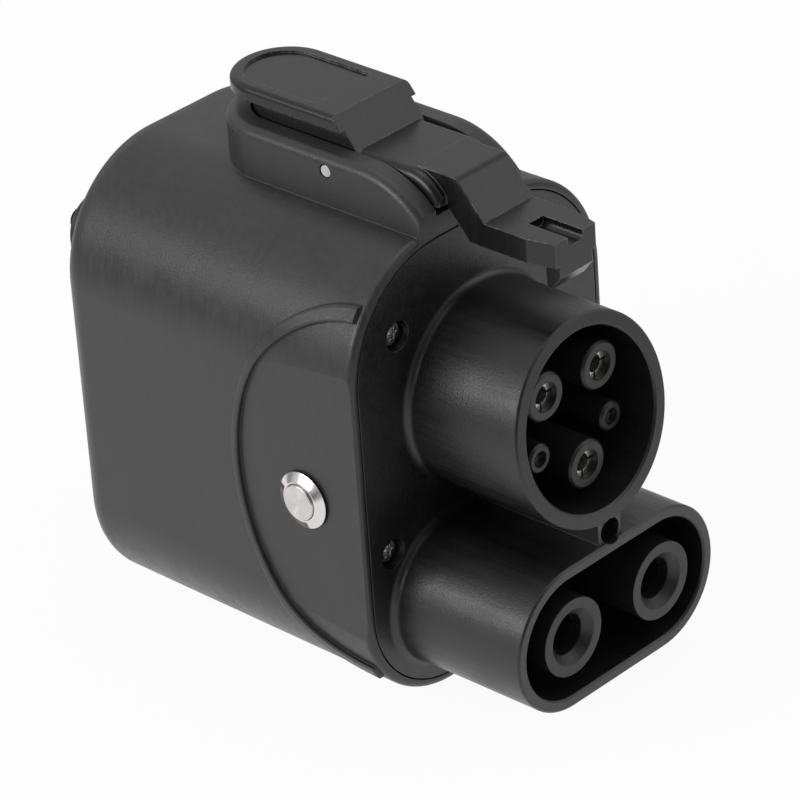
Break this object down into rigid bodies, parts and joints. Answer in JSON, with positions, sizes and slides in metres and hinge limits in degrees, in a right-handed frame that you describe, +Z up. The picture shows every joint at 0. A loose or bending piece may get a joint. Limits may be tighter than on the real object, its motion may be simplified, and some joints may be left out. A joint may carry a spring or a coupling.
{
  "type": "electric vehicle charging adapter",
  "caption": "Boxy hand-held charging adapter: combined outlet plug with sprung top latch, side push button, and round inlet behind.",
  "frame": {"origin": "centre of the flat underside of the case, where the adapter rests", "axes": "+Z up; -Y out of the outlet barrels; +Y out of the rear inlet; -X towards the push button"},
  "size_m": [0.0764, 0.1238, 0.119],
  "materials": {
    "case_plastic": "satin, fine moulded grain",
    "plate_plastic": "satin",
    "lever_plastic": "satin",
    "socket_plastic": "satin",
    "inlet_plastic": "satin",
    "seal_rubber": "matte",
    "contact_metal": "silver plated",
    "copper": "bare copper",
    "screw_steel": "plated",
    "spring_steel": "drawn wire",
    "button_metal": "polished stainless",
    "button_cap_metal": "turned stainless",
    "retainer_steel": "pressed sheet",
    "board_laminate": "solder mask",
    "battery_wrap": "shrink wrap",
    "heat_sink_metal": "extruded",
    "device_plastic": "matte"
  },
  "bodies": {
    "adapter": {"ac_socket_block": "socket_plastic", "battery_pack": "battery_wrap", "block_retainer": "retainer_steel", "board_screw_1": "screw_steel", "board_screw_2": "screw_steel", "board_screw_3": "screw_steel", "board_screw_4": "screw_steel", "busbar_negative": "copper", "busbar_positive": "copper", "button_body": "button_metal", "button_nut": "button_metal", "button_seal": "seal_rubber", "button_switch_base": "device_plastic", "casing_shell": "case_plastic", "contact_earth": "contact_metal", "contact_line_1": "contact_metal", "contact_line_2": "contact_metal", "contact_pilot": "contact_metal", "contact_proximity": "contact_metal", "control_board": "board_laminate", "dc_contact_negative": "contact_metal", "dc_contact_positive": "contact_metal", "dc_socket_block": "socket_plastic", "earth_strap": "copper", "front_plate": "plate_plastic", "inlet_aux_pin_1": "contact_metal", "inlet_aux_pin_2": "contact_metal", "inlet_dc_pin_negative": "contact_metal", "inlet_dc_pin_positive": "contact_metal", "inlet_earth_pin": "contact_metal", "inlet_link_screw_negative": "screw_steel", "inlet_link_screw_positive": "screw_steel", "inlet_pin_carrier": "socket_plastic", "inlet_screw_1": "screw_steel", "inlet_screw_2": "screw_steel", "inlet_screw_3": "screw_steel", "inlet_screw_4": "screw_steel", "inlet_seal": "seal_rubber", "inlet_shell": "inlet_plastic", "inlet_signal_pin_1": "contact_metal", "inlet_signal_pin_2": "contact_metal", "inlet_signal_pin_3": "contact_metal", "inlet_signal_pin_4": "contact_metal", "latch_pin": "screw_steel", "latch_spring": "spring_steel", "latch_switch": "device_plastic", "outlet_link_screw_negative": "screw_steel", "outlet_link_screw_positive": "screw_steel", "plate_screw_1": "screw_steel", "plate_screw_2": "screw_steel", "plate_screw_3": "screw_steel", "plate_screw_4": "screw_steel", "plate_seal": "seal_rubber", "power_module": "heat_sink_metal", "processor": "device_plastic", "retainer_screw_left": "screw_steel", "retainer_screw_right": "screw_steel", "web_screw": "screw_steel"},
    "lever": {"latch_lever": "lever_plastic"},
    "button": {"button_cap": "button_cap_metal"}
  },
  "joints": [
    {"name": "latch_hinge", "type": "hinge", "parent": "adapter", "child": "lever", "pos_m": [0, -0.0168, 0.1091], "axis": [-1, 0, 0], "range_deg": [0, 4.5], "stiffness_Nm_per_rad": 3, "springref_deg": -1.72, "deforming": ["latch_spring"]},
    {"name": "button_slide", "type": "slide", "parent": "adapter", "child": "button", "axis": [1, 0, 0], "range_m": [0, 0.0015], "stiffness_N_per_m": 1500, "springref_m": -0.0005}
  ]
}
